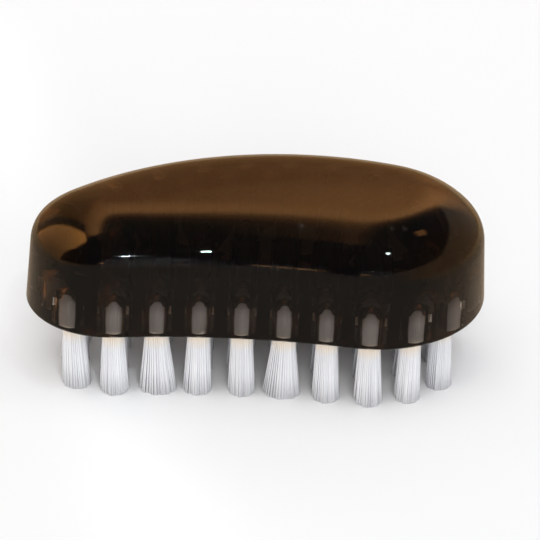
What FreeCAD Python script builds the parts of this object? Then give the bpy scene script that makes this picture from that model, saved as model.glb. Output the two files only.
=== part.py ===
"""Palm nail brush: a bean-shaped solid block with blind holes, each holding a folded tuft and a flat staple.

Frame: +Z up, X along the block, +Y towards its convex back, origin at the middle of the brush on the plane of
the bristle tips. The block and each tuft are bodies of their own, and the staples are one group of solids.
"""
import FreeCAD, Part
import math
import os

import Sketcher
from FreeCAD import Vector

# Driving dimensions, in millimetres and degrees, which fill the sheet
SIZES = {
    # Plan of the block at its underside: two round ends on one front line, a convex back and a hollow waist
    "body_length": 85,
    "small_end_radius": 15,
    "large_end_radius": 21.4,
    "back_radius": 65.5,
    "waist_radius": 157,
    # Edge of the block, from the underside up: a small round, a wall that leans in, a broad round in two arcs
    "base_edge_radius": 0.9,
    "wall_height": 12.6,
    "wall_lean": 0.7,
    "shoulder_radius": 6.2,
    "round_width": 12.8,
    "round_height": 8.6,
    "least_core_radius": 0.8,
    # Blind holes in the underside
    "hole_diameter": 4.2,
    "hole_depth": 6.4,
    "drill_point_angle": 118,
    "hole_margin": 5.3,
    "small_end_margin": 9.2,
    "large_end_margin": 8,
    "tuft_pitch": 7.85,
    "least_row_pitch": 7,
    # Tufts
    "bristle_length": 13.8,
    "tuft_tip_diameter": 5.6,
    "tuft_tip_gap": 0.1,
    "strand_groove": 0.4,
    "tuft_clearance": 0.15,
    "fold_height": 1.3,
    # Flat staples, whose ends bite into the hole's wall
    "staple_length": 5.4,
    "staple_thickness": 0.4,
    "staple_height": 1.6,
    "staple_clearance": 0.1,
}

# Strands round each tuft
STRANDS = 9

# Tips of the front row, column by column from the left: lean to the right and spread along the row, as shares
# of the tip's diameter
FRONT_LEAN_SHARES = (0.16, 0.09, 0.13, 0.03, 0.08, 0, 0.06, 0.06, 0, 0.03)
FRONT_SPREAD_SHARES = (1, 1, 1.3, 1, 0.95, 1.3, 0.97, 1, 0.88, 0.92)
PLAIN_LEAN_SHARE = 0
PLAIN_SPREAD_SHARE = 1

# Sums of those sizes that several pieces share
EDGE_WIDTH = "min(sizes.wall_lean + sizes.round_width; sizes.small_end_radius - sizes.least_core_radius)"
BODY_HEIGHT = "sizes.wall_height + sizes.round_height"
ROOT_RADIUS = "sizes.hole_diameter / 2 - sizes.tuft_clearance"
TUFT_HEIGHT = "sizes.bristle_length + sizes.hole_depth"
STAPLE_TOP = "sizes.hole_depth - sizes.fold_height"
GROOVE_LENGTH = "sizes.staple_length + 2 * sizes.staple_clearance"
GROOVE_WIDTH = "sizes.staple_thickness + 2 * sizes.staple_clearance"

doc = FreeCAD.newDocument("nail_brush")
sheet = doc.addObject("Spreadsheet::Sheet", "sizes")
for row, (alias, number) in enumerate(SIZES.items(), 1):
    sheet.set(f"A{row}", alias)
    sheet.set(f"B{row}", str(number))
    sheet.setAlias(f"B{row}", alias)
doc.recompute()


def value(expression):
    """The number that an expression of the sheet gives."""
    return float(sheet.evalExpression(expression))


def size(alias):
    return value("sizes." + alias)


def new_sketch(body, name, role):
    """An empty sketch on one of the body's own origin planes."""
    plane = next(feature for feature in body.Origin.OriginFeatures if feature.Role == role)
    sketch = body.newObject("Sketcher::SketchObject", name)
    sketch.AttachmentSupport = [(plane, "")]
    sketch.MapMode = "FlatFace"
    return sketch


def bind(sketch, name, expression, kind, *places):
    """A dimension of a sketch that follows the sheet."""
    index = sketch.addConstraint(Sketcher.Constraint(kind, *places, value(expression)))
    sketch.renameConstraint(index, name)
    sketch.setExpression("Constraints." + name, expression)


def join_ends(sketch, count, smooth):
    """Closes a chain of lines and arcs drawn one after the other, and smooths the joint after some."""
    for index in range(count):
        kind = "Tangent" if index in smooth else "Coincident"
        sketch.addConstraint(Sketcher.Constraint(kind, index, 2, (index + 1) % count, 1))


def angle(vector):
    return math.atan2(vector.y, vector.x)


def arc(centre, radius, start, end):
    return Part.ArcOfCircle(Part.Circle(centre, Vector(0, 0, 1), radius), start, end)


def meeting(first, second, first_distance, second_distance):
    """The point on the front side at these distances from two others."""
    span = second - first
    along = (first_distance**2 - second_distance**2 + span.Length**2) / (2 * span.Length)
    across = math.sqrt(first_distance**2 - along**2)
    unit = span / span.Length
    return first + unit * along + Vector(unit.y, -unit.x, 0) * across


# Plan of the block: the centres of its four tangent arcs, with the plan's box centred on the origin
def plan_centres():
    half = size("body_length") / 2
    small, large = size("small_end_radius"), size("large_end_radius")
    left = Vector(small - half, small, 0)
    right = Vector(half - large, large, 0)
    back = meeting(left, right, size("back_radius") - small, size("back_radius") - large)
    waist = meeting(left, right, size("waist_radius") + small, size("waist_radius") + large)
    middle = Vector(0, (back.y + size("back_radius")) / 2, 0)
    return right - middle, back - middle, left - middle, waist - middle


RIGHT, BACK, LEFT, WAIST = plan_centres()
PLAN_RADII = (
    "sizes.large_end_radius - {0}",
    "sizes.back_radius - {0}",
    "sizes.small_end_radius - {0}",
    "sizes.waist_radius + {0}",
)


def plan_arcs(inset):
    """Centre, radius, start and end angle of the right end, the back, the left end and the waist, inset."""
    radii = [value(text.format(inset)) for text in PLAN_RADII]
    turns = [
        (angle(WAIST - RIGHT), angle(RIGHT - BACK)),
        (angle(RIGHT - BACK), angle(LEFT - BACK)),
        (angle(LEFT - BACK), angle(WAIST - LEFT)),
        (angle(RIGHT - WAIST), angle(LEFT - WAIST)),
    ]
    turns = [(start, end if end > start else end + 2 * math.pi) for start, end in turns]
    return [(c, r, *turn) for c, r, turn in zip((RIGHT, BACK, LEFT, WAIST), radii, turns)]


def plan_sketch(body, name, inset):
    """The plan, drawn inside itself by an inset, as four tangent arcs bound to the sheet."""
    sketch = new_sketch(body, name, "XY_Plane")
    for piece in plan_arcs(inset):
        sketch.addGeometry(arc(*piece))
    for first, first_end, second, second_end in ((0, 2, 1, 1), (1, 2, 2, 1), (2, 2, 3, 2), (3, 1, 0, 1)):
        sketch.addConstraint(Sketcher.Constraint("Tangent", first, first_end, second, second_end))
    for index, side in enumerate(("right", "back", "left", "waist")):
        bind(sketch, side + "_radius", PLAN_RADII[index].format(inset), "Radius", index)
    bind(sketch, "right_place", "sizes.body_length / 2 - sizes.large_end_radius", "DistanceX", -1, 1, 0, 3)
    bind(sketch, "left_place", "sizes.body_length / 2 - sizes.small_end_radius", "DistanceX", 2, 3, -1, 1)
    bind(sketch, "front_line", "sizes.large_end_radius - sizes.small_end_radius", "DistanceY", 2, 3, 0, 3)
    sketch.addConstraint(Sketcher.Constraint("DistanceY", -1, 1, 0, 3, RIGHT.y))
    return sketch


# Edge of the block in the plane across its right end, where the plan's front line touches
def edge_sketch(body):
    sketch = new_sketch(body, "edge_profile", "YZ_Plane")
    sketch.AttachmentOffset = FreeCAD.Placement(Vector(0, 0, RIGHT.x), FreeCAD.Rotation())
    front = RIGHT.y - size("large_end_radius")
    lean, wall = size("wall_lean"), size("wall_height")
    small, shoulder = size("base_edge_radius"), size("shoulder_radius")
    width = value(EDGE_WIDTH)
    slope = math.atan2(lean, wall)
    # The base round touches the underside and the leaning wall, and the wall starts at the plan's line
    base_centre = Vector(front + small * math.tan((math.pi / 2 - slope) / 2 + slope), small, 0)
    wall_out = Vector(-math.cos(slope), math.sin(slope), 0)
    wall_top = Vector(front + lean, wall, 0)
    # The two arcs of the broad round end level at its full width and height
    across = width - lean - shoulder * math.cos(slope)
    rise = size("round_height") + shoulder * math.sin(slope) - shoulder
    change = 2 * math.atan2(across, rise) - math.pi / 2
    crown = shoulder + across / math.cos(change)
    change_out = Vector(-math.cos(change), math.sin(change), 0)
    shoulder_centre = wall_top - wall_out * shoulder
    crown_centre = shoulder_centre + change_out * (shoulder - crown)
    inner = front + width
    top = value(BODY_HEIGHT)
    sketch.addGeometry(Part.LineSegment(Vector(inner, 0, 0), Vector(base_centre.x, 0, 0)))
    sketch.addGeometry(arc(base_centre, small, math.pi - slope, 3 * math.pi / 2))
    sketch.addGeometry(Part.LineSegment(base_centre + wall_out * small, wall_top))
    sketch.addGeometry(arc(shoulder_centre, shoulder, math.pi - change, math.pi - slope))
    sketch.addGeometry(arc(crown_centre, crown, math.pi / 2, math.pi - change))
    sketch.addGeometry(Part.LineSegment(Vector(inner, top, 0), Vector(inner, 0, 0)))
    for first, first_end, second, second_end in ((0, 2, 1, 2), (1, 1, 2, 1), (2, 2, 3, 2), (3, 1, 4, 2)):
        sketch.addConstraint(Sketcher.Constraint("Tangent", first, first_end, second, second_end))
    sketch.addConstraint(Sketcher.Constraint("Coincident", 4, 1, 5, 1))
    sketch.addConstraint(Sketcher.Constraint("Coincident", 5, 2, 0, 1))
    sketch.addConstraint(Sketcher.Constraint("Vertical", 5))
    sketch.addConstraint(Sketcher.Constraint("PointOnObject", 0, 1, -1))
    bind(sketch, "base_edge", "sizes.base_edge_radius", "Radius", 1)
    bind(sketch, "shoulder", "sizes.shoulder_radius", "Radius", 3)
    bind(sketch, "wall", "sizes.wall_height", "DistanceY", -1, 1, 2, 2)
    bind(sketch, "height", BODY_HEIGHT, "DistanceY", 0, 1, 4, 1)
    return sketch


# Places of the tufts: a front row that follows the block's front, and columns that run straight back from it
def plan_edge(centre, radius, start, end):
    """One arc of the plan as an edge from its start angle to its end angle."""
    turns = (start, (start + end) / 2, end)
    points = [centre + Vector(math.cos(turn), math.sin(turn), 0) * radius for turn in turns]
    return Part.Arc(*points).toShape()


def front_row(inset):
    """Evenly spaced points along the front of the inset plan, as far as both end columns."""
    right, _, left, waist = plan_arcs(inset)
    first_reach = value("sizes.small_end_radius - sizes.small_end_margin")
    last_reach = value("sizes.large_end_radius - sizes.large_end_margin")
    first = math.pi + math.acos(first_reach / left[1])
    last = -math.acos(last_reach / right[1])
    line = Part.Wire([
        plan_edge(LEFT, left[1], first, left[3]),
        plan_edge(WAIST, waist[1], waist[3], waist[2]),
        plan_edge(RIGHT, right[1], right[2], last),
    ])
    return line.discretize(Number=round(line.Length / size("tuft_pitch")) + 1)


def tuft_points():
    """Columns from the front row to the back of the inset plan, where each tip clears those before it.

    Also gives the shares that each tip leans and spreads by.
    """
    inset = "sizes.hole_margin"
    field = Part.Face(Part.Wire([plan_edge(*piece) for piece in plan_arcs(inset)]))
    clear = value("sizes.tuft_tip_diameter + sizes.tuft_tip_gap")
    points, tip_shares = [], []
    front_shares = list(zip(FRONT_LEAN_SHARES, FRONT_SPREAD_SHARES))
    for column, front in enumerate(front_row(inset)):
        depth = field.common(Part.makeLine(front, front + Vector(0, size("body_length"), 0))).Length
        gaps = max(1, int(depth / size("least_row_pitch")))
        for row in range(gaps + 1):
            point = front + Vector(0, depth * row / gaps, 0)
            if all(point.distanceToPoint(other) >= clear for other in points):
                points.append(point)
                plain = (PLAIN_LEAN_SHARE, PLAIN_SPREAD_SHARE)
                tip_shares.append(plain if row else front_shares[column % len(front_shares)])
    return points, tip_shares


def rectangle(sketch, centre, length, width):
    """Four joined lines round a centre."""
    corners = [
        centre + Vector(length * x / 2, width * y / 2, 0)
        for x, y in ((-1, -1), (1, -1), (1, 1), (-1, 1))
    ]
    for index, corner in enumerate(corners):
        sketch.addGeometry(Part.LineSegment(corner, corners[(index + 1) % len(corners)]))


# The block: its edge swept round the plan, the core inside, then the holes and the staples' grooves
def make_block(points):
    body = doc.addObject("PartDesign::Body", "brush_body")
    body.Label = "brush_body"
    plan = plan_sketch(body, "plan", "0")
    edge = edge_sketch(body)
    doc.recompute()
    sweep = body.newObject("PartDesign::AdditivePipe", "swept_edge")
    sweep.Profile = edge
    sweep.Spine = plan
    core = body.newObject("PartDesign::Pad", "core")
    core.Profile = plan_sketch(body, "core_plan", f"({EDGE_WIDTH})")
    core.setExpression("Length", BODY_HEIGHT)
    doc.recompute()
    whole = body.Shape.Volume
    centres = new_sketch(body, "hole_centres", "XY_Plane")
    for point in points:
        centres.addGeometry(Part.Circle(point, Vector(0, 0, 1), size("hole_diameter") / 2))
    doc.recompute()
    holes = body.newObject("PartDesign::Hole", "tuft_holes")
    holes.Profile = centres
    holes.ThreadType = 0
    holes.HoleCutType = 0
    holes.DepthType = 0
    holes.DrillPoint = 1
    holes.Reversed = True
    holes.setExpression("Diameter", "sizes.hole_diameter")
    holes.setExpression("Depth", "sizes.hole_depth")
    holes.setExpression("DrillPointAngle", "sizes.drill_point_angle")
    doc.recompute()
    drilled = body.Shape.Volume
    marks = new_sketch(body, "groove_marks", "XY_Plane")
    for point in points:
        rectangle(marks, point, value(GROOVE_LENGTH), value(GROOVE_WIDTH))
    grooves = body.newObject("PartDesign::Pocket", "staple_grooves")
    grooves.Profile = marks
    grooves.Reversed = True
    grooves.setExpression("Length", STAPLE_TOP + " + sizes.staple_clearance")
    body.Tip = grooves
    body.setExpression("Placement.Base.z", "sizes.bristle_length")
    doc.recompute()
    if not whole > drilled > body.Shape.Volume:
        raise RuntimeError("the holes or the grooves cut nothing out of the block")
    return body


# A tuft: strands that fan from the hole to the trimmed tip, and a root with a folded dome, slit for a staple
def strand_ring(sketch, middle, half_width, half_depth, groove):
    """A closed ring of arcs round a middle, one on the outside of each strand."""
    step = 2 * math.pi / STRANDS
    for index in range(STRANDS):
        points = []
        for turn, inset in ((index, groove), (index + 1 / 2, 0), (index + 1, groove)):
            across, along = math.cos(turn * step), math.sin(turn * step)
            points.append(Vector(middle + (half_width - inset) * across, (half_depth - inset) * along, 0))
        sketch.addGeometry(Part.Arc(*points))
    join_ends(sketch, STRANDS, smooth=())


def make_tuft(label, point, lean_share, spread_share):
    body = doc.addObject("PartDesign::Body", label)
    body.Label = label
    root, top, mouth = value(ROOT_RADIUS), value(TUFT_HEIGHT), size("bristle_length")
    tip_diameter, groove = size("tuft_tip_diameter"), size("strand_groove")
    tip = new_sketch(body, label + "_tip", "XY_Plane")
    strand_ring(tip, lean_share * tip_diameter, spread_share * tip_diameter / 2, tip_diameter / 2, groove)
    neck = new_sketch(body, label + "_neck", "XY_Plane")
    neck.setExpression("AttachmentOffset.Base.z", "sizes.bristle_length")
    strand_ring(neck, 0, root, root, 0)
    doc.recompute()
    fan = body.newObject("PartDesign::AdditiveLoft", label + "_fan")
    fan.Profile = tip
    fan.Sections = [neck]
    fan.Ruled = True
    profile = new_sketch(body, label + "_profile", "XZ_Plane")
    corners = [Vector(0, mouth, 0), Vector(root, mouth, 0), Vector(root, top - root, 0)]
    for first, second in zip(corners, corners[1:]):
        profile.addGeometry(Part.LineSegment(first, second))
    profile.addGeometry(arc(Vector(0, top - root, 0), root, 0, math.pi / 2))
    profile.addGeometry(Part.LineSegment(Vector(0, top, 0), corners[0]))
    join_ends(profile, len(corners) + 1, smooth=(1,))
    profile.addConstraint(Sketcher.Constraint("Horizontal", 0))
    profile.addConstraint(Sketcher.Constraint("PointOnObject", 0, 1, -2))
    profile.addConstraint(Sketcher.Constraint("PointOnObject", 2, 3, -2))
    profile.addConstraint(Sketcher.Constraint("PointOnObject", 3, 1, -2))
    bind(profile, "mouth", "sizes.bristle_length", "DistanceY", -1, 1, 0, 1)
    bind(profile, "root", ROOT_RADIUS, "DistanceX", -1, 1, 0, 2)
    bind(profile, "dome", ROOT_RADIUS, "Radius", 2)
    bind(profile, "fold", TUFT_HEIGHT, "DistanceY", -1, 1, 3, 1)
    turned = body.newObject("PartDesign::Revolution", label + "_root")
    turned.Profile = profile
    turned.ReferenceAxis = (profile, ["V_Axis"])
    doc.recompute()
    whole = body.Shape.Volume
    slit_mark = new_sketch(body, label + "_slit_mark", "YZ_Plane")
    slit_height = value("sizes.staple_height + 2 * sizes.staple_clearance")
    slit_middle = value(f"sizes.bristle_length + {STAPLE_TOP} - sizes.staple_height / 2")
    rectangle(slit_mark, Vector(0, slit_middle, 0), value(GROOVE_WIDTH), slit_height)
    slit = body.newObject("PartDesign::Pocket", label + "_slit")
    slit.Profile = slit_mark
    slit.Midplane = True
    slit.setExpression("Length", GROOVE_LENGTH)
    body.Tip = slit
    body.Placement.Base = point
    doc.recompute()
    if not body.Shape.Volume < whole:
        raise RuntimeError(f"{label} has no slit")
    return body


# The staples: one flat plate across each hole, inside the fold
def make_staples(points):
    plates = []
    for number, point in enumerate(points, 1):
        plate = doc.addObject("Part::Box", f"staple_{number:02d}")
        plate.setExpression("Length", "sizes.staple_length")
        plate.setExpression("Width", "sizes.staple_thickness")
        plate.setExpression("Height", "sizes.staple_height")
        plate.Placement.Base = Vector(
            point.x - size("staple_length") / 2,
            point.y - size("staple_thickness") / 2,
            value(f"sizes.bristle_length + {STAPLE_TOP} - sizes.staple_height"),
        )
        plates.append(plate)
    group = doc.addObject("Part::Compound", "staple_anchors")
    group.Label = "staple_anchors"
    group.Links = plates
    doc.recompute()
    return group


def main():
    points, tip_shares = tuft_points()
    subparts = [make_block(points)]
    for number, (point, shares) in enumerate(zip(points, tip_shares), 1):
        subparts.append(make_tuft(f"tuft_{number:02d}", point, *shares))
    subparts.append(make_staples(points))
    doc.recompute()
    for item in doc.Objects:
        if {"Invalid", "Error"} & set(item.State):
            raise RuntimeError(f"{item.Name} failed: {item.State}")
    for item in subparts:
        if item.Shape.isNull() or not item.Shape.isValid():
            raise RuntimeError(f"{item.Label} has no valid shape")
    os.makedirs("parts", exist_ok=True)
    for item in subparts:
        item.Shape.exportStep(f"parts/{item.Label}.step")
    print(f"{len(points)} tufts, block {subparts[0].Shape.Volume:.1f} cubic mm")


main()
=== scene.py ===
"""Looks of the palm nail brush: a polished smoke-brown block, tufts of white nylon and flat staples.

Everything is in metres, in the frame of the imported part: +Z is up, X runs along the block, and the tips of
the bristles stand on z = 0.
"""
import math

import bmesh
import bpy
import numpy as np
from mathutils import Matrix, Vector
from mathutils.geometry import delaunay_2d_cdt


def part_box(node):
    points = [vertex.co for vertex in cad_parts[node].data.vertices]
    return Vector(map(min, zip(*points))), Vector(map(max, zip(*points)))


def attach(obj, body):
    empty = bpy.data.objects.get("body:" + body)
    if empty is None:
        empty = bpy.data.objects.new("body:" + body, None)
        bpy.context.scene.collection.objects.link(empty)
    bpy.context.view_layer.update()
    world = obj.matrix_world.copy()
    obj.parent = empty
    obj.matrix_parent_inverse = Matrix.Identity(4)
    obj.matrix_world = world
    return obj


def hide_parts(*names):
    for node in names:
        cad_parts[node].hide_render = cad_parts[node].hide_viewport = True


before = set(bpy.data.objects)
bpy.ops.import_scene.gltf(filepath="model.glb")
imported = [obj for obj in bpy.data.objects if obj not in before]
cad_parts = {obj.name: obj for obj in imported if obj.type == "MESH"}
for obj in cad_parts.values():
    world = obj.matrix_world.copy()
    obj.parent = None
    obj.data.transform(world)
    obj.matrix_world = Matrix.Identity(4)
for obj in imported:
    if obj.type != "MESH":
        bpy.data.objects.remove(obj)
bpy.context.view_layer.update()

MM = 0.001
SEED = 20

# Camera: its place in degrees round a point of the brush, its focal length in pixels, and its sensor in mm
CAMERA_AZIMUTH = 0.1
CAMERA_ELEVATION = 29.8
CAMERA_ROLL = 2.53
CAMERA_DISTANCE = 0.7
CAMERA_TARGET = Vector((2.38 * MM, -3.15 * MM, 18.9 * MM))
FOCAL_PIXELS = 3771.0
IMAGE_SIDE = 540
SENSOR_WIDTH = 36.0
NEAREST_SEEN = 0.01

# Soft suns: azimuth, elevation and width in degrees, strength, colour, and whether plastic shows them
SUNS = {
    "key": (6, 28, 30, 1.3, (0.98, 0.99, 1.0), True),
    "low_left": (-50, 9, 30, 0.4, (1.0, 0.76, 0.52), False),
    "top": (20, 80, 60, 1.0, (1.0, 1.0, 1.0), True),
    "warm_back": (225, 13, 25, 0.4, (1.0, 0.8, 0.58), False),
}
# Small panels that make the glints: azimuth and elevation in degrees, width, height, power, the angle of the
# beam in degrees, and the point that it falls on
SPARKS = {
    "left_spark": (14.9, 48.5, 0.012, 0.2, 0.001, 1.8, (-27.0 * MM, -20.0 * MM, 32.0 * MM)),
    "waist_spark": (3.8, 63, 0.012, 0.2, 0.00016, 1.8, (-10.0 * MM, -18.0 * MM, 32.0 * MM)),
    "right_spark": (43, 74, 0.14, 0.14, 0.002, 4.0, (25.0 * MM, -18.0 * MM, 32.0 * MM)),
}
SPARK_COLOUR = (0.82, 0.95, 1.0)

# Floor: a pale disc. Polished surfaces mirror a table in its place, a painted reflection which is dull by the
# brush, has painted light farther off and to the sides, and is brown at the back
FLOOR_REACH = 8.0
FLOOR_SIDES = 96
FLOOR_PALE = (0.92, 0.92, 0.92, 1)
TABLE_DULL = (0.29, 0.25, 0.21, 1)
TABLE_PAINTED_LIGHT = (0.66, 0.42, 0.21, 1)
TABLE_BROWN = (0.36, 0.21, 0.10, 1)
SIDEWAYS_SHARE = 0.9
PAINTED_LIGHT_REACH = (0.0, 0.3)
BROWN_REACH = (0.2, 0.7)

# Room that polished surfaces mirror. Its places are parts of a unit direction: X across, Y away and Z up, or
# the bearing in radians. A band has a low end, a high end and the width of its soft edges
ROOM_STRENGTH = (0.74, 0.73, 0.72, 1)
AMBIENT = (0.52, 0.52, 0.53, 1)
WHITE = (1.0, 1.0, 1.0, 1)
# Rear wall, by Z + X, and the bearings at which it gives way to the front wall
REAR_WALL = (
    (0.00, (0.60, 0.29, 0.11)),
    (0.34, (0.80, 0.37, 0.14)),
    (0.45, (0.95, 0.42, 0.16)),
    (0.56, (1.60, 0.72, 0.26)),
    (0.70, (2.40, 1.12, 0.41)),
    (0.79, (2.70, 1.27, 0.47)),
    (0.86, (1.10, 0.53, 0.22)),
    (0.92, (0.40, 0.22, 0.13)),
    (1.00, (0.14, 0.12, 0.09)),
)
REAR_LEFT_END = (-1.95, -1.6)
REAR_RIGHT_END = (0.25, 0.6)
# Front wall, by Z less a share of X: pale low down, dark above, with a thin lit line, browner at the sides
FRONT_SLANT = 0.35
FRONT_WALL = (
    (0.00, (0.40, 0.35, 0.30)),
    (0.36, (0.40, 0.35, 0.30)),
    (0.40, (0.09, 0.08, 0.09)),
    (1.00, (0.12, 0.10, 0.09)),
)
LINE_COLOUR = (3.6, 1.9, 0.8, 1)
LINE_HEIGHT_BAND = (0.44, 0.47, 0.02)
LINE_ACROSS_BAND = (-0.14, -0.06, 0.04)
SIDE_TINT = (1.7, 1.15, 0.72, 1)
SIDE_REACH = (0.35, 0.8)
# Lit doorway on the left, by -X from its tip, with a dark jamb. Both lean, by Y plus a multiple of X
DOOR_LEAN = 1.574
DOOR_TIP = 0.42
DOOR_LIGHT = (
    (DOOR_TIP, (6.0, 2.6, 0.70)),
    (0.62, (3.6, 1.65, 0.50)),
    (0.80, (2.4, 1.10, 0.38)),
    (1.00, (1.2, 0.60, 0.25)),
)
DOOR_FOOT_SLOPE = 1.9
DOOR_FOOT_EDGE = (-0.92, -0.80)
DOOR_LEAN_BAND = (-3.0, -0.70, 0.14)
DOOR_ACROSS_BAND = (-2.0, -DOOR_TIP, 0.06)
JAMB_COLOUR = (0.30, 0.19, 0.11, 1)
JAMB_LEAN_BAND = (-0.52, -0.38, 0.12)
JAMB_ACROSS_BAND = (-0.7, -DOOR_TIP, 0.1)
# Warm sliver high on the right
SLIVER_COLOUR = (2.0, 0.9, 0.35, 1)
SLIVER_BEARING_BAND = (0.78, 0.98, 0.03)
SLIVER_HEIGHT_BAND = (0.838, 0.862, 0.03)

# Block: the arcs of its plan, the heights and insets of its edge, and the slight crown of its top
LEFT_CENTRE, LEFT_RADIUS = (-27.5 * MM, -7.37 * MM), 15.0 * MM
RIGHT_CENTRE, RIGHT_RADIUS = (21.1 * MM, -0.97 * MM), 21.4 * MM
BACK_CENTRE, BACK_RADIUS = (8.16 * MM, -43.13 * MM), 65.5 * MM
WAIST_CENTRE, WAIST_RADIUS = (-3.42 * MM, -177.68 * MM), 157.0 * MM
BASE_EDGE_RADIUS = 0.9 * MM
BASE_FLAT = 0.06 * MM
WALL_HEIGHT = 12.6 * MM
WALL_LEAN = 0.7 * MM
SHOULDER_RADIUS = 6.2 * MM
ROUND_WIDTH = 12.8 * MM
ARC_POINTS = 400
OUTLINE_POINTS = 480
OUTLINE_SOFTNESS = 2.0 * MM
EDGE_STEPS = 6
SHOULDER_STEPS = 14
CROWN_STEPS = 12
CROWN_RISE = 0.5 * MM
CROWN_INSET = 6.0 * MM
CROWN_LENGTH = 36.0 * MM
CROWN_MIDDLE = 9.0 * MM
PATCH_STEP = 1.1 * MM
BORE_REACH = 3.0 * MM
WELD = 0.0002 * MM
SHARP_ANGLE = math.radians(35)

# Plastic: its index, the colour and density that absorb light in it, and the roughness of its surfaces
PLASTIC_INDEX = 1.49
PLASTIC_COLOUR = (0.22, 0.15, 0.10, 1)
PLASTIC_DENSITY = 200.0
POLISH_GRAIN = (60.0, 420.0, 420.0)
POLISH_DETAIL = 5.0
POLISH_NOISE = (0.35, 0.75)
POLISH_ROUGHNESS = (0.012, 0.05)
BORE_ROUGHNESS = 0.1
RUBBED_ROUGHNESS = 0.26
# Rubbed places on the shoulder: where they are and how wide, and the noise that makes their edges ragged
WEAR_MARKS = (
    ((7.7 * MM, -12.9 * MM, 34.1 * MM), 0.35 * MM),
    ((24.1 * MM, -13.0 * MM, 34.3 * MM), 0.35 * MM),
    ((26.4 * MM, -12.5 * MM, 34.2 * MM), 0.5 * MM),
)
MARK_GRAIN = (1400.0, 4200.0, 4200.0)
MARK_DETAIL = 3.0
MARK_RAGGED = 3.0 * MM
MARK_EDGE = (0.45 * MARK_RAGGED, 0.55 * MARK_RAGGED)

# Tufts: the strands of their trimmed tips, and their filaments
TIP_RADIUS = 2.8 * MM
STRANDS = 9
STRAND_GROOVE = 0.35 * MM
FILAMENT_RADIUS = 0.14 * MM
FILAMENT_PAIRS = 240
FILAMENT_SIDES = 5
ROOT_RADIUS = 1.95 * MM
ROOT_GAP = 0.33 * MM
TRIM_SPREAD = 0.08 * MM
TIP_JITTER = 0.04 * MM
LEG_SHARES = (0.0, 0.3, 0.62, 1.0)
LEG_BOW = (1.0, 1.2)
NECK_SHARE = 0.55
FOLD_SHARE = 0.86
LOOP_SHARE = 0.6
LOOP_STEPS = 5
CORNER_POWER = 4
GOLDEN_ANGLE = math.pi * (3 - math.sqrt(5))
# Each column's front tuft: its lean as a share of the tip's diameter, its spread from side to side as a
# multiple of the plain tip's, and how much shorter its left corner, right corner and both corners are
FRONT_TUFTS = (
    (0.16, 1.0, 0.0 * MM, 0.1 * MM, 0.15 * MM),
    (0.09, 1.0, 0.5 * MM, 0.2 * MM, 0.3 * MM),
    (0.13, 1.3, 0.0 * MM, 0.2 * MM, 0.15 * MM),
    (0.03, 1.0, 0.0 * MM, 0.3 * MM, 0.1 * MM),
    (0.08, 0.95, 0.0 * MM, 0.35 * MM, 0.1 * MM),
    (0.0, 1.3, 0.2 * MM, 0.0 * MM, 0.15 * MM),
    (0.06, 0.97, 0.0 * MM, 0.0 * MM, 0.1 * MM),
    (0.06, 1.0, 0.35 * MM, 0.1 * MM, 0.45 * MM),
    (0.0, 0.88, 0.1 * MM, 0.0 * MM, 0.1 * MM),
    (0.03, 0.92, 0.0 * MM, 0.2 * MM, 0.15 * MM),
)
# The tufts behind them stand straight, with corners cut by chance
PLAIN_LEAN, PLAIN_SPREAD = 0.0, 1.0
PLAIN_CUT = 0.2 * MM

# Nylon: its tones by noise, painted warm light by the block, and the root's painted light and shade, pale in
# the hole and dark at the fold, with the heights between which each change takes place
NYLON_INDEX = 1.53
NYLON_GRAIN = (900.0, 900.0, 60.0)
NYLON_TONES = ((0.3, (0.77, 0.78, 0.81)), (0.7, (0.82, 0.83, 0.86)))
# Painted warm light on the filaments just below the block
NYLON_PAINTED_WARM_LIGHT = (0.86, 0.76, 0.64, 1)
# Painted light on the roots in the hole, and painted shade at their fold
ROOT_PAINTED_LIGHT = (0.97, 0.96, 0.96, 1)
FOLD_PAINTED_SHADE = (0.20, 0.18, 0.17, 1)
PAINTED_WARM_HEIGHTS = (9.0 * MM, 12.6 * MM)
HOLE_HEIGHTS = (13.6 * MM, 14.6 * MM)
FOLD_PAINTED_SHADE_HEIGHTS = (17.0 * MM, 21.5 * MM)

# Staples: drawn flat wire
WIRE_GRAIN = (150.0, 3000.0, 6000.0)
WIRE_TONES = ((0.0, (0.52, 0.50, 0.45)), (1.0, (0.78, 0.76, 0.70)))
WIRE_ROUGHNESS = (0.2, 0.45)


# Helpers for objects and shader nodes
def link(obj):
    bpy.context.scene.collection.objects.link(obj)
    return obj


def node_material(name):
    """A node material, its tree and its Principled shader."""
    material = bpy.data.materials.new(name)
    material.use_nodes = True
    tree = material.node_tree
    return material, tree, tree.nodes["Principled BSDF"]


def add(tree, kind, **values):
    node = tree.nodes.new(kind)
    for name, value in values.items():
        setattr(node, name, value)
    return node


def feed(tree, socket, value):
    """Links a socket to another, or sets its value."""
    if isinstance(value, bpy.types.NodeSocket):
        tree.links.new(value, socket)
    else:
        socket.default_value = value


def calculate(tree, operation, first, second=0.0):
    node = add(tree, "ShaderNodeMath", operation=operation)
    feed(tree, node.inputs[0], first)
    feed(tree, node.inputs[1], second)
    return node.outputs["Value"]


def spread(tree, value, low, high, to_low=0.0, to_high=1.0, smooth=False):
    """Maps low..high to to_low..to_high."""
    node = add(tree, "ShaderNodeMapRange", interpolation_type="SMOOTHSTEP" if smooth else "LINEAR")
    sockets = ("Value", "From Min", "From Max", "To Min", "To Max")
    for name, given in zip(sockets, (value, low, high, to_low, to_high)):
        feed(tree, node.inputs[name], given)
    return node.outputs["Result"]


def within(tree, value, low, high, soft):
    """1 from low to high, and 0 farther off than the soft edge."""
    above = spread(tree, value, low - soft, low, smooth=True)
    below = spread(tree, value, high, high + soft, 1.0, 0.0, smooth=True)
    return calculate(tree, "MULTIPLY", above, below)


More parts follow.
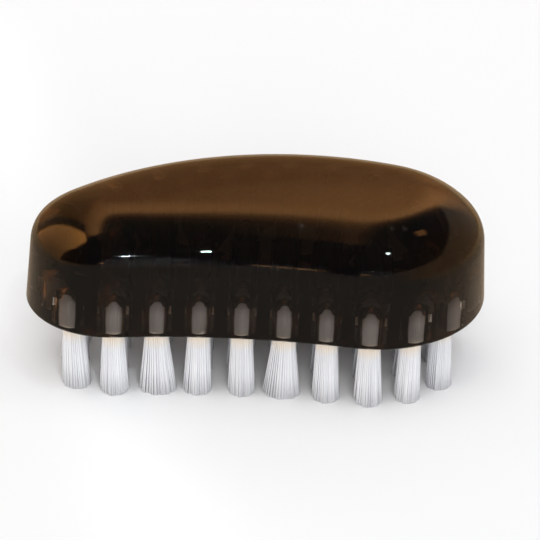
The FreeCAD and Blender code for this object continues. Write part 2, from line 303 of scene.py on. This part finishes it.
def ramp(tree, value, stops):
    node = add(tree, "ShaderNodeValToRGB")
    elements = node.color_ramp.elements
    while len(elements) < len(stops):
        elements.new(0.5)
    for element, (position, colour) in zip(elements, stops):
        element.position = position
        element.color = (*colour, 1)
    feed(tree, node.inputs["Fac"], value)
    return node.outputs["Color"]


def blend(tree, share, first, second, kind="MIX"):
    node = add(tree, "ShaderNodeMix", data_type="RGBA", blend_type=kind)
    feed(tree, node.inputs["Factor"], share)
    feed(tree, node.inputs["A"], first)
    feed(tree, node.inputs["B"], second)
    return node.outputs["Result"]


def axes(tree, kind="Object"):
    """X, Y and Z of the place that is shaded."""
    place = add(tree, "ShaderNodeTexCoord")
    parts = add(tree, "ShaderNodeSeparateXYZ")
    tree.links.new(place.outputs[kind], parts.inputs["Vector"])
    return parts.outputs["X"], parts.outputs["Y"], parts.outputs["Z"]


def noise(tree, scales, detail=2.0):
    """Noise in the part's own frame, stretched by its scale along each axis."""
    place = add(tree, "ShaderNodeTexCoord")
    stretch = add(tree, "ShaderNodeMapping")
    stretch.inputs["Scale"].default_value = scales
    tree.links.new(place.outputs["Object"], stretch.inputs["Vector"])
    node = add(tree, "ShaderNodeTexNoise")
    node.inputs["Scale"].default_value = 1.0
    node.inputs["Detail"].default_value = detail
    tree.links.new(stretch.outputs["Vector"], node.inputs["Vector"])
    return node.outputs["Fac"]


# Materials
def rubbed(tree):
    """1 in the ragged rubbed places and 0 elsewhere."""
    place = add(tree, "ShaderNodeTexCoord")
    ragged = calculate(tree, "MULTIPLY", noise(tree, MARK_GRAIN, MARK_DETAIL), MARK_RAGGED)
    share = 0.0
    for centre, reach in WEAR_MARKS:
        away = add(tree, "ShaderNodeVectorMath", operation="DISTANCE")
        away.inputs[1].default_value = centre
        tree.links.new(place.outputs["Object"], away.inputs[0])
        edge = calculate(tree, "ADD", away.outputs["Value"], ragged)
        mark = spread(tree, edge, reach + MARK_EDGE[0], reach + MARK_EDGE[1], 1.0, 0.0)
        share = calculate(tree, "MAXIMUM", mark, share)
    return share


def smoke_plastic():
    """Polished see-through plastic, darker the more of it light crosses, and dull in its drilled bores."""
    material, tree, shader = node_material("smoke_plastic")
    shader.inputs["Base Color"].default_value = WHITE
    shader.inputs["Transmission Weight"].default_value = 1.0
    shader.inputs["IOR"].default_value = PLASTIC_INDEX
    absorb = add(tree, "ShaderNodeVolumeAbsorption")
    absorb.inputs["Color"].default_value = PLASTIC_COLOUR
    absorb.inputs["Density"].default_value = PLASTIC_DENSITY
    tree.links.new(absorb.outputs["Volume"], tree.nodes["Material Output"].inputs["Volume"])
    polish = spread(tree, noise(tree, POLISH_GRAIN, POLISH_DETAIL), *POLISH_NOISE, *POLISH_ROUGHNESS)
    bore = add(tree, "ShaderNodeAttribute", attribute_name="bore")
    dull = spread(tree, bore.outputs["Fac"], 0.0, 1.0, polish, BORE_ROUGHNESS)
    worn = spread(tree, rubbed(tree), 0.0, 1.0, dull, RUBBED_ROUGHNESS)
    tree.links.new(worn, shader.inputs["Roughness"])
    return material


def nylon():
    """White filaments, each a little different, warmer by the block with painted warm light, pale in the hole
    as painted light, and darker at their fold as painted shade.
    """
    material, tree, shader = node_material("nylon_bristle")
    shader.inputs["Roughness"].default_value = 0.45
    shader.inputs["IOR"].default_value = NYLON_INDEX
    shader.inputs["Specular IOR Level"].default_value = 0.3
    height = axes(tree)[2]
    tone_and_warm_light = ramp(tree, noise(tree, NYLON_GRAIN), NYLON_TONES)
    # Painted warm light on the filaments just below the block
    tone_and_warm_light = blend(tree, spread(tree, height, *PAINTED_WARM_HEIGHTS, smooth=True), tone_and_warm_light, NYLON_PAINTED_WARM_LIGHT)
    # Painted light in the hole, giving way to painted shade at the fold
    root = blend(tree, spread(tree, height, *FOLD_PAINTED_SHADE_HEIGHTS, smooth=True), ROOT_PAINTED_LIGHT, FOLD_PAINTED_SHADE)
    colour = blend(tree, spread(tree, height, *HOLE_HEIGHTS, smooth=True), tone_and_warm_light, root)
    tree.links.new(colour, shader.inputs["Base Color"])
    return material


def staple_metal():
    material, tree, shader = node_material("staple_metal")
    shader.inputs["Metallic"].default_value = 1.0
    grain = noise(tree, WIRE_GRAIN)
    tree.links.new(ramp(tree, grain, WIRE_TONES), shader.inputs["Base Color"])
    tree.links.new(spread(tree, grain, 0.0, 1.0, *WIRE_ROUGHNESS), shader.inputs["Roughness"])
    return material


def pale_floor():
    material, tree, shader = node_material("pale_floor")
    across, away, _ = axes(tree)
    aside = calculate(tree, "MULTIPLY", calculate(tree, "ABSOLUTE", across), SIDEWAYS_SHARE)
    # Painted light on the table that polished surfaces mirror, farther off and to the sides
    lit = spread(tree, calculate(tree, "ADD", away, aside), *PAINTED_LIGHT_REACH)
    table = blend(tree, lit, TABLE_DULL, TABLE_PAINTED_LIGHT)
    table = blend(tree, spread(tree, away, *BROWN_REACH), table, TABLE_BROWN)
    path = add(tree, "ShaderNodeLightPath")
    # Only reflections show the painted table; other rays see the pale floor
    tint = blend(tree, path.outputs["Is Glossy Ray"], FLOOR_PALE, table)
    tree.links.new(tint, shader.inputs["Base Color"])
    shader.inputs["Roughness"].default_value = 0.9
    shader.inputs["Specular IOR Level"].default_value = 0.0
    return material


# Block: its skin from the arcs of the plan, softened where they meet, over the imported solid's drilled bores
def plan_outline():
    """Even points round the block's plan from above, anticlockwise, and their outward directions."""
    centres = (LEFT_CENTRE, RIGHT_CENTRE, BACK_CENTRE, WAIST_CENTRE)
    left, right, back, waist = (np.array(centre) for centre in centres)

    def heading(start, end):
        return math.atan2(*(end - start)[::-1])

    def arc(centre, radius, first, last):
        turns = np.linspace(first, last, ARC_POINTS)
        return centre + radius * np.stack([np.cos(turns), np.sin(turns)], axis=1)

    line = np.concatenate([
        arc(waist, WAIST_RADIUS, heading(waist, left), heading(waist, right)),
        arc(right, RIGHT_RADIUS, heading(right, waist), heading(back, right)),
        arc(back, BACK_RADIUS, heading(back, right), heading(back, left)),
        arc(left, LEFT_RADIUS, heading(back, left), heading(left, waist) + 2 * math.pi),
    ])
    steps = np.linalg.norm(np.diff(line, axis=0, append=line[:1]), axis=1)
    length = steps.sum()
    at = np.concatenate([[0], np.cumsum(steps)])
    closed = np.vstack([line, line[:1]])
    even = np.arange(OUTLINE_POINTS) * length / OUTLINE_POINTS
    wave = np.fft.fft(np.interp(even, at, closed[:, 0]) + 1j * np.interp(even, at, closed[:, 1]))
    pace = 2j * math.pi * np.fft.fftfreq(OUTLINE_POINTS, length / OUTLINE_POINTS)
    wave *= np.exp((pace * OUTLINE_SOFTNESS) ** 2 / 2)
    place, slope, bend = (np.fft.ifft(wave * pace ** power) for power in (0, 1, 2))
    place -= bend * OUTLINE_SOFTNESS ** 2 / 2
    out = -1j * slope / np.abs(slope)
    return np.stack([place.real, place.imag], axis=1), np.stack([out.real, out.imag], axis=1)


def edge_profile(low, high):
    """Insets from the outline and heights, from the underside over the wall and shoulder to the top."""
    points = [(BASE_EDGE_RADIUS + BASE_FLAT, low)]
    for turn in np.linspace(0, math.pi / 2, EDGE_STEPS):
        inset = BASE_EDGE_RADIUS * (1 - math.sin(turn))
        points.append((inset, low + BASE_EDGE_RADIUS * (1 - math.cos(turn))))
    lean = math.atan2(WALL_LEAN, WALL_HEIGHT)
    side = WALL_LEAN + SHOULDER_RADIUS * math.cos(lean)
    rise = low + WALL_HEIGHT - SHOULDER_RADIUS * math.sin(lean)
    inner = WALL_LEAN + ROUND_WIDTH
    across, down = side - inner, rise - high
    crown = (SHOULDER_RADIUS ** 2 - across ** 2 - down ** 2) / (2 * (down + SHOULDER_RADIUS))
    meet = math.atan2(rise - (high - crown), inner - side)
    for turn in np.linspace(lean, meet, SHOULDER_STEPS):
        points.append((side - SHOULDER_RADIUS * math.cos(turn), rise + SHOULDER_RADIUS * math.sin(turn)))
    for turn in np.linspace(meet, math.pi / 2, CROWN_STEPS)[1:]:
        points.append((inner - crown * math.cos(turn), high - crown + crown * math.sin(turn)))
    return points


def crown_height(x, y):
    """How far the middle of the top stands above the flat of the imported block."""
    front = WAIST_CENTRE[1] + math.sqrt(WAIST_RADIUS ** 2 - (x - WAIST_CENTRE[0]) ** 2)
    rear = BACK_CENTRE[1] + math.sqrt(BACK_RADIUS ** 2 - (x - BACK_CENTRE[0]) ** 2)
    across = (y - (front + rear) / 2) / ((rear - front) / 2 - CROWN_INSET)
    along = (x - CROWN_MIDDLE) / CROWN_LENGTH
    return CROWN_RISE * max(0.0, 1 - across ** 2 - along ** 2) ** 2


def inside(points, start, end):
    """Which points lie within edges that close one or more loops."""
    spans = (start[:, 1] > points[:, 1:]) != (end[:, 1] > points[:, 1:])
    rise = np.where(end[:, 1] == start[:, 1], 1.0, end[:, 1] - start[:, 1])
    cross = start[:, 0] + (points[:, 1:] - start[:, 1]) * (end[:, 0] - start[:, 0]) / rise
    return (spans & (points[:, :1] < cross)).sum(axis=1) % 2 == 1


def inner_grid(border):
    """Points of a grid that lie inside the border and clear of it."""
    low, high = border.min(axis=0), border.max(axis=0)
    xs = np.arange(low[0], high[0], PATCH_STEP)
    ys = np.arange(low[1], high[1], PATCH_STEP)
    points = np.array([(x + (row % 2) * PATCH_STEP / 2, y) for row, y in enumerate(ys) for x in xs])
    clear = np.linalg.norm(points[:, None] - border[None], axis=2).min(axis=1) > PATCH_STEP / 2
    return points[clear & inside(points, border, np.roll(border, -1, axis=0))]


def fill(bm, verts, edges, extra, height):
    """A flat sheet of triangles within the edges, through extra points at that height."""
    index = {vert: i for i, vert in enumerate(verts)}
    flat = [Vector(vert.co[:2]) for vert in verts] + [Vector(point) for point in extra]
    sides = [(index[first], index[second]) for first, second in edges]
    places, _, faces, origins, _, _ = delaunay_2d_cdt(flat, sides, [], 1, WELD)
    made = []
    for place, origin in zip(places, origins):
        kept = [i for i in origin if i < len(verts)]
        made.append(verts[kept[0]] if kept else bm.verts.new((*place, height)))
    corners = np.array(places)[np.array(faces)]
    start, end = (np.array([flat[i] for i in ends]) for ends in zip(*sides))
    for face, covered in zip(faces, inside(corners.mean(axis=1), start, end)):
        if covered:
            bm.faces.new([made[i] for i in face])


def add_bores(bm, tuft_centres, low, middle):
    """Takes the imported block's drilled bores, marks their faces, and returns the edges of their mouths."""
    bm.from_mesh(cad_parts["brush_body"].data)
    bmesh.ops.remove_doubles(bm, verts=bm.verts, dist=WELD)
    bore = bm.faces.layers.float.new("bore")
    centres = np.array(tuft_centres)
    rest = []
    for face in bm.faces:
        place = face.calc_center_median()
        near = np.linalg.norm(centres - np.array(place[:2]), axis=1).min() < BORE_REACH
        face[bore] = float(near and low + WELD < place.z < middle)
        if not face[bore]:
            rest.append(face)
    bmesh.ops.delete(bm, geom=rest, context="FACES")
    return [edge for edge in bm.edges if edge.is_boundary]


def add_skin(bm, mouths, low, high):
    """Adds the wall and shoulder, then the underside round the bores' mouths, then the top."""
    outline, outward_ways = plan_outline()
    rings = []
    for inset, height in edge_profile(low, high):
        rings.append([bm.verts.new((*point, height)) for point in outline - inset * outward_ways])
    for below, above in zip(rings, rings[1:]):
        for i in range(OUTLINE_POINTS):
            after = (i + 1) % OUTLINE_POINTS
            bm.faces.new((below[i], below[after], above[after], above[i]))
    ends = (rings[0], rings[-1])
    bottom_edges, top_edges = ([(ring[i - 1], ring[i]) for i in range(OUTLINE_POINTS)] for ring in ends)
    mouth_edges = [tuple(edge.verts) for edge in mouths]
    rim = list(dict.fromkeys(vert for edge in mouth_edges for vert in edge))
    fill(bm, rings[0] + rim, bottom_edges + mouth_edges, [], low)
    border = np.array([vert.co[:2] for vert in rings[-1]])
    fill(bm, rings[-1], top_edges, inner_grid(border), high)


def make_block(material, tuft_centres):
    low, high = (corner[2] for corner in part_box("brush_body"))
    middle = (low + high) / 2
    bm = bmesh.new()
    mouths = add_bores(bm, tuft_centres, low, middle)
    add_skin(bm, mouths, low, high)
    for vert in bm.verts:
        if vert.co.z > middle:
            vert.co.z += crown_height(vert.co.x, vert.co.y)
    bmesh.ops.recalc_face_normals(bm, faces=bm.faces)
    mesh = bpy.data.meshes.new("smoke_block")
    bm.to_mesh(mesh)
    bm.free()
    mesh.shade_smooth()
    mesh.set_sharp_from_angle(angle=SHARP_ANGLE)
    mesh.materials.append(material)
    piece = link(bpy.data.objects.new("smoke_block", mesh))
    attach(piece, "root")
    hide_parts("brush_body")


# Tufts: filaments folded over the staple, two legs each, fanning out below the hole
def filament_paths(centre, mouth, fold, top, shape, rng):
    """An array of pairs by points by XYZ: up one leg, over the staple and down the other."""
    lean, widening, left_cut, right_cut, corner_cut = shape
    reach = ROOT_RADIUS - FILAMENT_RADIUS
    share = np.sqrt((np.arange(FILAMENT_PAIRS) + 0.5) / FILAMENT_PAIRS)
    turn = (GOLDEN_ANGLE * np.arange(FILAMENT_PAIRS)) % math.pi
    across, along = np.cos(turn), np.sin(turn)
    x, y = reach * share * across, reach * share * along
    apart = ROOT_GAP + y * (reach - ROOT_GAP) / reach
    corner = share * across
    cut = left_cut * np.clip(-corner, 0, 1) + right_cut * np.clip(corner, 0, 1)
    cut += corner_cut * corner ** CORNER_POWER
    neck = np.full_like(x, mouth + (fold - mouth) * NECK_SHARE)
    legs = []
    for side in (-1, 1):
        phase = (side * turn * STRANDS / (2 * math.pi)) % 1
        tip_reach = share * (TIP_RADIUS - FILAMENT_RADIUS - STRAND_GROOVE * (2 * phase - 1) ** 2)
        jitter = rng.normal(0, TIP_JITTER, (FILAMENT_PAIRS, 2))
        tip_x = 2 * lean * TIP_RADIUS + widening * tip_reach * across + jitter[:, 0]
        tip_y = side * tip_reach * along + jitter[:, 1]
        tip_z = cut + np.abs(rng.normal(0, TRIM_SPREAD, FILAMENT_PAIRS))
        bow = rng.uniform(*LEG_BOW, FILAMENT_PAIRS)
        points = [np.stack([x, side * apart, neck], axis=1)]
        for down in LEG_SHARES:
            out = down ** bow
            points.append(np.stack([
                x + (tip_x - x) * out,
                side * y + (tip_y - side * y) * out,
                mouth + (tip_z - mouth) * down,
            ], axis=1))
        legs.append(np.stack(points, axis=1))
    loop = []
    for bend in np.linspace(0, math.pi, LOOP_STEPS):
        inward = FOLD_SHARE + (LOOP_SHARE - FOLD_SHARE) * math.sin(bend)
        height = fold + (top - fold) * apart / reach * math.sin(bend)
        depth = -(ROOT_GAP + (apart - ROOT_GAP) * inward) * math.cos(bend)
        loop.append(np.stack([x * inward, depth, height], axis=1))
    path = np.concatenate([legs[0][:, ::-1], np.stack(loop, axis=1), legs[1]], axis=1)
    return path + np.array([*centre, 0.0])


def tube_mesh(name, paths):
    """One mesh of closed thin tubes along the paths."""
    count, steps, _ = paths.shape
    along = np.gradient(paths, axis=1)
    along /= np.linalg.norm(along, axis=2, keepdims=True)
    side = np.array([1.0, 0.0, 0.0]) - along * along[:, :, :1]
    side /= np.linalg.norm(side, axis=2, keepdims=True)
    other = np.cross(along, side)
    turns = 2 * math.pi * np.arange(FILAMENT_SIDES) / FILAMENT_SIDES
    ring = side[:, :, None] * np.cos(turns)[:, None] + other[:, :, None] * np.sin(turns)[:, None]
    vertices = (paths[:, :, None] + FILAMENT_RADIUS * ring).reshape(-1, 3)
    first = np.arange(count)[:, None] * steps * FILAMENT_SIDES
    column = np.arange(FILAMENT_SIDES)
    after = (column + 1) % FILAMENT_SIDES
    lower = first[:, :, None] + np.arange(steps - 1)[None, :, None] * FILAMENT_SIDES
    upper = lower + FILAMENT_SIDES
    quads = np.stack([lower + column, lower + after, upper + after, upper + column], axis=-1).reshape(-1, 4)
    start_caps = first + column[::-1]
    end_caps = first + (steps - 1) * FILAMENT_SIDES + column
    faces = quads.tolist() + start_caps.tolist() + end_caps.tolist()
    mesh = bpy.data.meshes.new(name)
    mesh.from_pydata(vertices.tolist(), [], faces)
    mesh.shade_smooth()
    return mesh


def column_place(centre):
    """A root's X in whole mm, which the tufts of one column share."""
    return round(centre[0] / MM)


def tuft_places():
    """Each tuft's node, its top and its root's centre, column by column from the left and front to back."""
    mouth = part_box("brush_body")[0][2]
    places = []
    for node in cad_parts:
        if node.startswith("tuft_"):
            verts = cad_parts[node].data.vertices
            root = np.array([vert.co[:2] for vert in verts if vert.co.z > mouth])
            centre = tuple((root.min(axis=0) + root.max(axis=0)) / 2)
            places.append((node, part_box(node)[1][2], centre))
    return sorted(places, key=lambda place: (column_place(place[2]), place[2][1]))


def make_tufts(material, places):
    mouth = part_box("brush_body")[0][2]
    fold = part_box("staple_anchors")[1][2]
    columns = sorted({column_place(centre) for _, _, centre in places})
    seen = set()
    for number, (node, top, centre) in enumerate(places):
        rng = np.random.default_rng(SEED + number)
        column = columns.index(column_place(centre))
        if column in seen:
            shape = (PLAIN_LEAN, PLAIN_SPREAD, *np.abs(rng.normal(0, PLAIN_CUT, 3)))
        else:
            shape = FRONT_TUFTS[column % len(FRONT_TUFTS)]
        seen.add(column)
        paths = filament_paths(centre, mouth, fold, top - FILAMENT_RADIUS, shape, rng)
        piece = link(bpy.data.objects.new("bristles_" + node, tube_mesh("bristles_" + node, paths)))
        piece.data.materials.append(material)
        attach(piece, "root")
        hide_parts(node)


# Staples
def repaint(node, material):
    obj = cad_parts[node]
    obj.data.materials.clear()
    obj.data.materials.append(material)


# Floor, light and camera
def make_floor(material):
    turns = [2 * math.pi * i / FLOOR_SIDES for i in range(FLOOR_SIDES)]
    ring = [(FLOOR_REACH * math.cos(turn), FLOOR_REACH * math.sin(turn), 0.0) for turn in turns]
    mesh = bpy.data.meshes.new("floor")
    mesh.from_pydata(ring, [], [tuple(range(FLOOR_SIDES))])
    mesh.materials.append(material)
    floor = link(bpy.data.objects.new("floor", mesh))


def outward(azimuth, elevation):
    """The direction of a place, from degrees. Azimuth 0 is in front, and 90 on the right."""
    turn, rise = math.radians(azimuth), math.radians(elevation)
    return Vector((math.sin(turn) * math.cos(rise), -math.cos(turn) * math.cos(rise), math.sin(rise)))


def make_sun(name, azimuth, elevation, width, power, colour, through):
    """A wide soft light, which polished surfaces don't mirror, and which plastic shows or not."""
    lamp = bpy.data.lights.new(name, "SUN")
    lamp.angle = math.radians(width)
    lamp.energy = power
    lamp.color = colour
    obj = link(bpy.data.objects.new(name, lamp))
    obj.visible_glossy = False
    obj.visible_transmission = through
    obj.rotation_euler = outward(azimuth, elevation).to_track_quat("Z", "Y").to_euler()


def make_spark(name, azimuth, elevation, width, height, power, beam, aim):
    """A small panel a metre from the point that its narrow beam falls on."""
    lamp = bpy.data.lights.new(name, "AREA")
    lamp.shape = "RECTANGLE"
    lamp.size, lamp.size_y = width, height
    lamp.energy = power
    lamp.color = SPARK_COLOUR
    lamp.spread = math.radians(beam)
    obj = link(bpy.data.objects.new(name, lamp))
    out = outward(azimuth, elevation)
    obj.location = Vector(aim) + out
    obj.rotation_euler = out.to_track_quat("Z", "Y").to_euler()


def front_wall(tree, across, rise):
    slanted = calculate(tree, "SUBTRACT", rise, calculate(tree, "MULTIPLY", across, FRONT_SLANT))
    line_height = within(tree, slanted, *LINE_HEIGHT_BAND)
    line = calculate(tree, "MULTIPLY", line_height, within(tree, across, *LINE_ACROSS_BAND))
    wall = blend(tree, line, ramp(tree, slanted, FRONT_WALL), LINE_COLOUR)
    sides = spread(tree, calculate(tree, "ABSOLUTE", across), *SIDE_REACH)
    return blend(tree, sides, wall, SIDE_TINT, "MULTIPLY")


def add_doorway(tree, room, across, away):
    """Lights a slanting streak, which widens and dims away from its tip, and darkens the jamb beside it."""
    leaning = calculate(tree, "ADD", away, calculate(tree, "MULTIPLY", across, DOOR_LEAN))
    jamb_width = within(tree, leaning, *JAMB_LEAN_BAND)
    jamb = calculate(tree, "MULTIPLY", jamb_width, within(tree, across, *JAMB_ACROSS_BAND))
    room = blend(tree, jamb, room, JAMB_COLOUR)
    foot = calculate(tree, "MULTIPLY", calculate(tree, "ADD", across, DOOR_TIP), DOOR_FOOT_SLOPE)
    lit = spread(tree, calculate(tree, "SUBTRACT", leaning, foot), *DOOR_FOOT_EDGE, smooth=True)
    lit = calculate(tree, "MULTIPLY", lit, within(tree, leaning, *DOOR_LEAN_BAND))
    lit = calculate(tree, "MULTIPLY", lit, within(tree, across, *DOOR_ACROSS_BAND))
    light = ramp(tree, calculate(tree, "MULTIPLY", across, -1.0), DOOR_LIGHT)
    return blend(tree, lit, room, light)


def mirrored_room(tree):
    across, away, rise = axes(tree, "Generated")
    bearing = calculate(tree, "ARCTAN2", across, away)
    rear = ramp(tree, calculate(tree, "ADD", rise, across), REAR_WALL)
    right_end = spread(tree, bearing, *REAR_RIGHT_END, 1.0, 0.0, smooth=True)
    left_end = spread(tree, bearing, *REAR_LEFT_END, smooth=True)
    behind = calculate(tree, "MULTIPLY", right_end, left_end)
    room = blend(tree, behind, front_wall(tree, across, rise), rear)
    room = add_doorway(tree, room, across, away)
    sliver_width = within(tree, bearing, *SLIVER_BEARING_BAND)
    sliver = calculate(tree, "MULTIPLY", sliver_width, within(tree, rise, *SLIVER_HEIGHT_BAND))
    room = blend(tree, sliver, room, SLIVER_COLOUR)
    return blend(tree, 1.0, room, ROOM_STRENGTH, "MULTIPLY")


def make_world():
    """Even pale light, white to the camera and through plastic, and the room that polish mirrors."""
    world = bpy.data.worlds.new("room")
    world.use_nodes = True
    bpy.context.scene.world = world
    tree = world.node_tree
    path = add(tree, "ShaderNodeLightPath")
    straight, through = path.outputs["Is Camera Ray"], path.outputs["Is Transmission Ray"]
    backdrop = calculate(tree, "MAXIMUM", straight, through)
    light = blend(tree, backdrop, AMBIENT, WHITE)
    seen = blend(tree, path.outputs["Is Glossy Ray"], light, mirrored_room(tree))
    tree.links.new(seen, tree.nodes["Background"].inputs["Color"])


def make_camera():
    roll = math.radians(CAMERA_ROLL)
    back = outward(CAMERA_AZIMUTH, CAMERA_ELEVATION)
    level = outward(CAMERA_AZIMUTH + 90, 0)
    upright = back.cross(level)
    right = level * math.cos(roll) + upright * math.sin(roll)
    up = upright * math.cos(roll) - level * math.sin(roll)
    eye = CAMERA_TARGET + back * CAMERA_DISTANCE
    data = bpy.data.cameras.new("camera")
    data.sensor_width = SENSOR_WIDTH
    data.lens = FOCAL_PIXELS * SENSOR_WIDTH / IMAGE_SIDE
    data.clip_start = NEAREST_SEEN
    camera = link(bpy.data.objects.new("camera", data))
    rows = [(*row, place) for row, place in zip(zip(right, up, back), eye)]
    camera.matrix_world = Matrix(rows + [(0, 0, 0, 1)])
    bpy.context.scene.camera = camera


def main():
    places = tuft_places()
    make_block(smoke_plastic(), [centre for _, _, centre in places])
    make_tufts(nylon(), places)
    repaint("staple_anchors", staple_metal())
    make_floor(pale_floor())
    for name, values in SUNS.items():
        make_sun(name, *values)
    for name, values in SPARKS.items():
        make_spark(name, *values)
    make_world()
    make_camera()
    bpy.context.scene.view_settings.view_transform = "Standard"


main()
